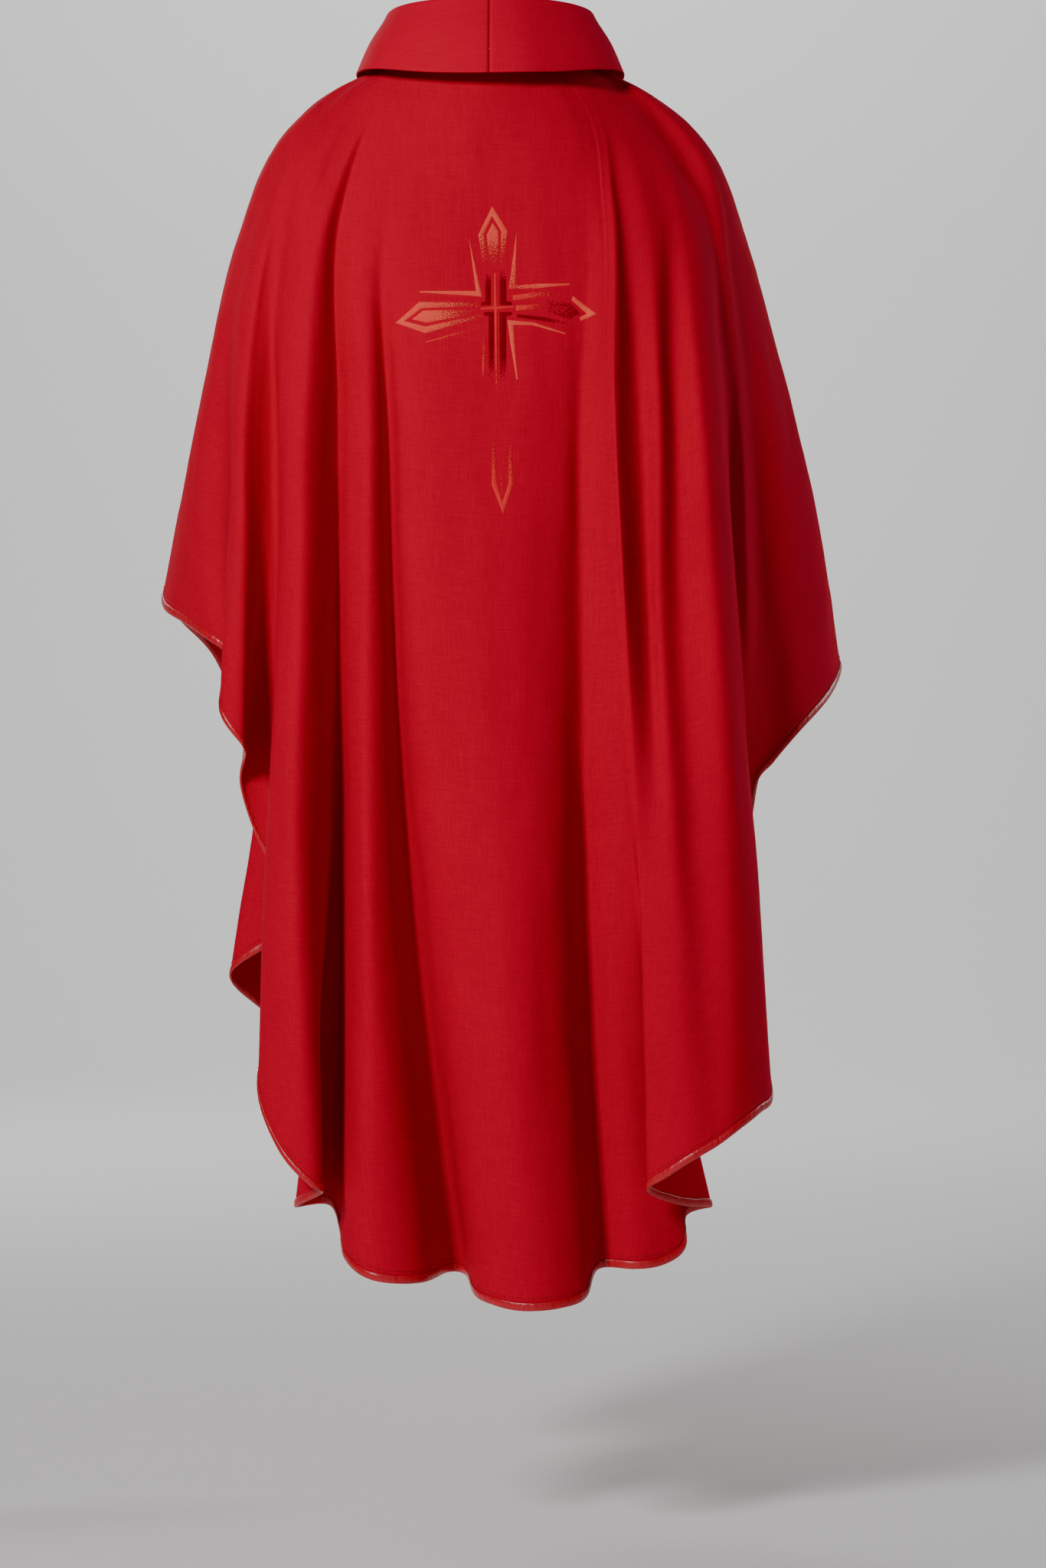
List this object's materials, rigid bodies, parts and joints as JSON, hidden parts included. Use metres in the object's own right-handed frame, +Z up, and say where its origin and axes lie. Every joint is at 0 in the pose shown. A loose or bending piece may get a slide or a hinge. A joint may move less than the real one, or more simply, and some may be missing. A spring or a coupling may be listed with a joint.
{
  "type": "chasuble",
  "caption": "Gothic vestment of two hanging cloth panels with a turned-down collar, a bound hem and an embroidered cross on the back, stored as worn with its folds.",
  "frame": {"origin": "middle of the neck opening, at the height of the back neckline", "axes": "+Z up, +Y the way the wearer faces, +X the wearer's right; the back with the cross faces -Y"},
  "size_m": [0.7261, 0.4481, 1.326],
  "materials": {
    "red_cloth": "matte slubbed plain weave",
    "collar_cloth": "matte slubbed plain weave, firm",
    "red_tape": "matte woven tape",
    "red_thread": "twisted thread, slight sheen",
    "binding_satin": "satin sheen",
    "interlining": "matte stiffening cloth",
    "label_white": "smooth blank woven label",
    "thread_bright": "satin stitch sheen",
    "thread_salmon": "open satin stitch sheen",
    "thread_dark": "satin stitch sheen"
  },
  "bodies": {
    "root": {"back_panel": "red_cloth", "front_panel": "red_cloth", "shoulder_seam_tape_left": "red_tape", "shoulder_seam_tape_right": "red_tape", "neck_seam_tape": "red_tape", "upper_collar": "collar_cloth", "under_collar": "collar_cloth", "collar_interlining": "interlining", "collar_back_seam": "red_thread", "hem_binding": "binding_satin", "hem_stitching": "red_thread", "embroidery_backing": "interlining", "hanger_loop": "red_tape", "care_label": "label_white", "cross_top_arm_outline": "thread_bright", "cross_top_arm_kite": "thread_bright", "cross_upper_left_ray": "thread_bright", "cross_upper_right_ray": "thread_bright", "cross_left_arm_outline": "thread_bright", "cross_left_arm_kite": "thread_bright", "cross_lower_left_ray": "thread_salmon", "cross_lower_right_ray": "thread_bright", "cross_right_arm_tip": "thread_bright", "cross_right_arm_upper_band": "thread_salmon", "cross_right_arm_middle_band": "thread_salmon", "cross_right_arm_lower_band": "thread_dark", "cross_right_arm_kite": "thread_dark", "cross_upper_left_bar": "thread_dark", "cross_upper_right_bar": "thread_dark", "cross_lower_left_bar": "thread_dark", "cross_lower_right_bar": "thread_dark", "cross_centre_lines": "thread_salmon", "cross_bottom_arm_outline": "thread_salmon", "cross_bottom_arm_kite": "thread_salmon"}
  },
  "joints": []
}
